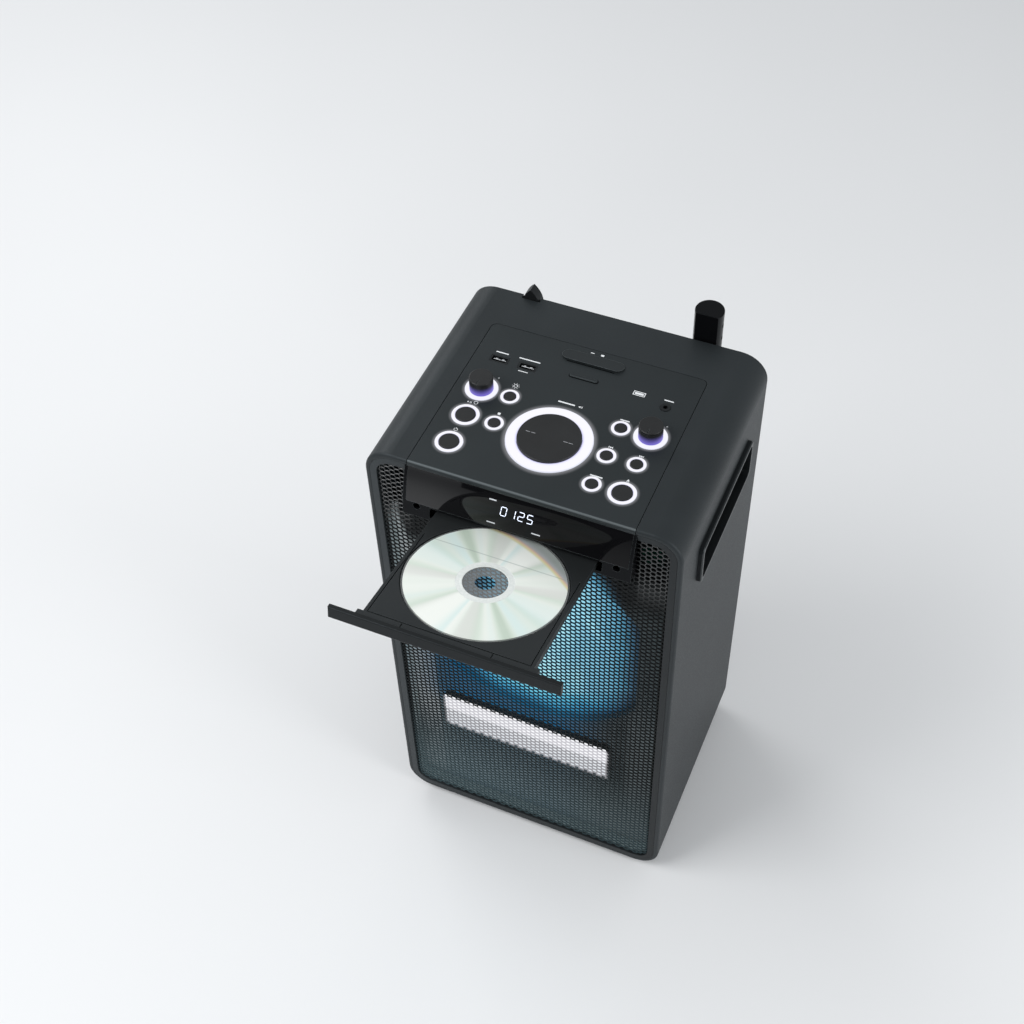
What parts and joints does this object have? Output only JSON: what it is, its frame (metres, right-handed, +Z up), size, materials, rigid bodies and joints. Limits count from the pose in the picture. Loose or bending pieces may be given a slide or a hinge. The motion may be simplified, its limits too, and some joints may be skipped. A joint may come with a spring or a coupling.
{
  "type": "karaoke machine with disc tray",
  "caption": "Upright karaoke speaker with a tilted front-loading disc tray, a top control panel with lit rings, side grips and a mesh front.",
  "frame": {"origin": "on the floor, under the middle of the bounding box with the tray open", "axes": "+Z up, the front with the disc tray faces -Y, the right side is +X"},
  "size_m": [0.26, 0.3564, 0.5025],
  "materials": {
    "charcoal_plastic": "fine texture",
    "panel_plastic": "satin",
    "black_plastic": "satin",
    "gloss_black": "gloss",
    "grille_metal": "satin",
    "rubber_black": "matte",
    "ring_light": "lit",
    "glow_plastic": "lit",
    "lamp_white": "lit",
    "disc_silver": "polished",
    "board_green": "satin",
    "gear_white": "satin",
    "steel": "brushed",
    "motor_metal": "satin",
    "magnet_ferrite": "matte",
    "cone_paper": "matte",
    "baffle_wood": "raw",
    "battery_wrap": "satin",
    "supply_metal": "satin",
    "screw_black": "satin"
  },
  "bodies": {
    "cabinet": {"amplifier_board": "board_green", "aux_jack": "black_plastic", "bass_port": "black_plastic", "battery_pack": "battery_wrap", "cabinet_shell": "charcoal_plastic", "clamp_bridge": "black_plastic", "control_board": "board_green", "control_panel": "panel_plastic", "device_rest": "panel_plastic", "display_module": "board_green", "display_window": "gloss_black", "front_bezel": "charcoal_plastic", "front_grille": "grille_metal", "glow_ring": "glow_plastic", "handle_left": "charcoal_plastic", "handle_right": "charcoal_plastic", "led_bar": "lamp_white", "light_frame": "black_plastic", "light_rings": "ring_light", "loader_chassis": "black_plastic", "loading_motor": "motor_metal", "microphone_hook": "black_plastic", "microphone_jacks": "black_plastic", "microphone_post": "gloss_black", "power_inlet": "black_plastic", "power_supply": "supply_metal", "rear_panel": "charcoal_plastic", "rubber_feet": "rubber_black", "screws": "screw_black", "sled_rails": "steel", "socket_plate": "gloss_black", "speaker_baffle": "baffle_wood", "spindle_motor": "motor_metal", "tray_bay_frame": "gloss_black", "usb_ports": "black_plastic", "woofer_frame": "grille_metal", "woofer_magnet": "magnet_ferrite", "woofer_surround": "rubber_black"},
    "tray": {"disc_tray": "black_plastic", "tray_fascia": "gloss_black", "compact_disc": "disc_silver"},
    "tray_gear_wheel": {"tray_gear": "gear_white"},
    "motor_gear": {"motor_pinion": "gear_white"},
    "turntable_hub": {"turntable": "black_plastic"},
    "clamp_puck": {"disc_clamp": "black_plastic"},
    "sled": {"laser_sled": "black_plastic"},
    "volume_wheel": {"volume_dial": "black_plastic"},
    "speaker_cone": {"woofer_cone": "cone_paper", "dust_cap": "cone_paper"},
    "play_button_body": {"play_button": "black_plastic"},
    "power_button_body": {"power_button": "black_plastic"},
    "eject_button_body": {"eject_button": "black_plastic"},
    "light_button_body": {"light_button": "black_plastic"},
    "stop_button_body": {"stop_button": "black_plastic"},
    "audio_button_body": {"audio_button": "black_plastic"},
    "previous_button_body": {"previous_button": "black_plastic"},
    "source_button_body": {"source_button": "black_plastic"},
    "next_button_body": {"next_button": "black_plastic"},
    "microphone_volume_knob_body": {"microphone_volume_knob": "black_plastic"},
    "echo_knob_body": {"echo_knob": "black_plastic"}
  },
  "joints": [
    {"name": "tray_slide", "type": "slide", "parent": "cabinet", "child": "tray", "axis": [0, 0.9833, -0.1822], "range_m": [0, 0.1215]},
    {"name": "tray_gear_spin", "type": "hinge", "parent": "cabinet", "child": "tray_gear_wheel", "pos_m": [-0.046, -0.02551, 0.42519], "axis": [0, 0.1822, 0.9833], "range_deg": [-871.18, 1]},
    {"name": "motor_gear_spin", "type": "hinge", "parent": "cabinet", "child": "motor_gear", "pos_m": [-0.027, -0.02551, 0.42519], "axis": [0, 0.1822, 0.9833], "range_deg": [-1, 1886.39]},
    {"name": "clamp_spin", "type": "hinge", "parent": "cabinet", "child": "clamp_puck", "pos_m": [0, 0.01511, 0.43088], "axis": [0, 0.1822, 0.9833], "continuous": true},
    {"name": "turntable_spin", "type": "hinge", "parent": "cabinet", "child": "turntable_hub", "pos_m": [0, 0.01292, 0.41908], "axis": [0, 0.1822, 0.9833], "continuous": true},
    {"name": "sled_slide", "type": "slide", "parent": "cabinet", "child": "sled", "axis": [0, 0.9833, -0.1822], "range_m": [0, 0.033]},
    {"name": "volume_turn", "type": "hinge", "parent": "cabinet", "child": "volume_wheel", "pos_m": [0, 0.01478, 0.476], "axis": [0, 0, 1], "continuous": true},
    {"name": "microphone_volume_knob_turn", "type": "hinge", "parent": "cabinet", "child": "microphone_volume_knob_body", "pos_m": [-0.0684, 0.04518, 0.476], "axis": [0, 0, 1], "range_deg": [-150, 150]},
    {"name": "echo_knob_turn", "type": "hinge", "parent": "cabinet", "child": "echo_knob_body", "pos_m": [0.0684, 0.04518, 0.476], "axis": [0, 0, 1], "range_deg": [-150, 150]},
    {"name": "play_button_press", "type": "slide", "parent": "cabinet", "child": "play_button_body", "axis": [0, 0, -1], "range_m": [0, 0.001], "stiffness_N_per_m": 400, "springref_m": -0.0005},
    {"name": "power_button_press", "type": "slide", "parent": "cabinet", "child": "power_button_body", "axis": [0, 0, -1], "range_m": [0, 0.001], "stiffness_N_per_m": 400, "springref_m": -0.0005},
    {"name": "eject_button_press", "type": "slide", "parent": "cabinet", "child": "eject_button_body", "axis": [0, 0, -1], "range_m": [0, 0.001], "stiffness_N_per_m": 400, "springref_m": -0.0005},
    {"name": "light_button_press", "type": "slide", "parent": "cabinet", "child": "light_button_body", "axis": [0, 0, -1], "range_m": [0, 0.001], "stiffness_N_per_m": 400, "springref_m": -0.0005},
    {"name": "stop_button_press", "type": "slide", "parent": "cabinet", "child": "stop_button_body", "axis": [0, 0, -1], "range_m": [0, 0.001], "stiffness_N_per_m": 400, "springref_m": -0.0005},
    {"name": "audio_button_press", "type": "slide", "parent": "cabinet", "child": "audio_button_body", "axis": [0, 0, -1], "range_m": [0, 0.001], "stiffness_N_per_m": 400, "springref_m": -0.0005},
    {"name": "previous_button_press", "type": "slide", "parent": "cabinet", "child": "previous_button_body", "axis": [0, 0, -1], "range_m": [0, 0.001], "stiffness_N_per_m": 400, "springref_m": -0.0005},
    {"name": "source_button_press", "type": "slide", "parent": "cabinet", "child": "source_button_body", "axis": [0, 0, -1], "range_m": [0, 0.001], "stiffness_N_per_m": 400, "springref_m": -0.0005},
    {"name": "next_button_press", "type": "slide", "parent": "cabinet", "child": "next_button_body", "axis": [0, 0, -1], "range_m": [0, 0.001], "stiffness_N_per_m": 400, "springref_m": -0.0005},
    {"name": "cone_stroke", "type": "slide", "parent": "cabinet", "child": "speaker_cone", "axis": [0, 1, 0], "range_m": [-0.003, 0.003], "stiffness_N_per_m": 2500}
  ],
  "couplings": [
    {"joint": "tray_gear_spin", "follows": "tray_slide", "rad_per_m": -125},
    {"joint": "motor_gear_spin", "follows": "tray_slide", "rad_per_m": 270.83},
    {"joint": "turntable_spin", "follows": "clamp_spin", "ratio": 1}
  ]
}
